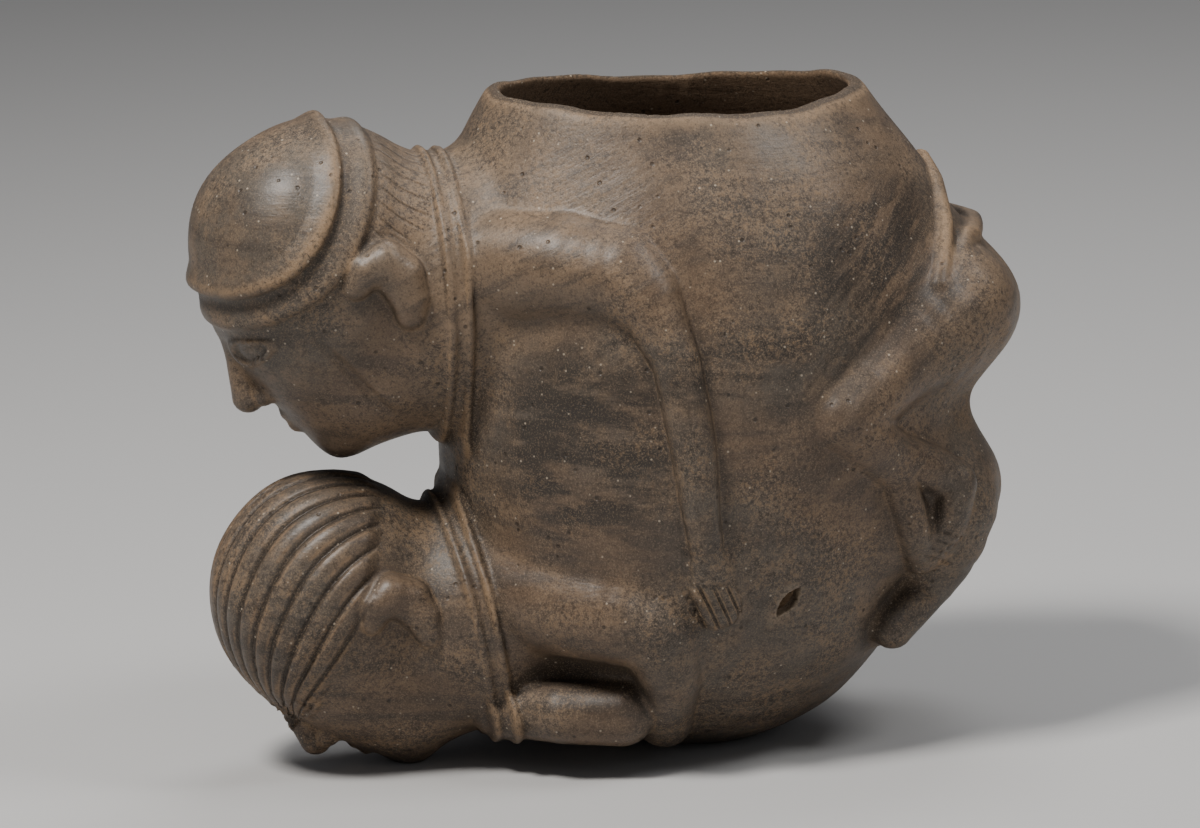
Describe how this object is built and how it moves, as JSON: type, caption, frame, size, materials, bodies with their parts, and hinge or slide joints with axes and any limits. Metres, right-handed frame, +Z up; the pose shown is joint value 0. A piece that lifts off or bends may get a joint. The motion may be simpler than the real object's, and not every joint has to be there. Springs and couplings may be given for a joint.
{
  "type": "effigy bowl",
  "caption": "Hollow burnished clay bowl modelled as a stooping figure crouched on the back of another, with a wide oval mouth opening in the upper figure's back.",
  "frame": {"origin": "on the table, under the middle of the vessel's bounding box", "axes": "+Z up through the mouth, -X the way both heads look, +X towards the figures' hips, +Y the figures' own right side, turned from the camera"},
  "size_m": [0.256, 0.1538, 0.2084],
  "materials": {
    "clay": "burnished low-fired clay, grey-brown, worn and fire-clouded"
  },
  "bodies": {
    "root": {"effigy_bowl": "clay"}
  },
  "joints": []
}
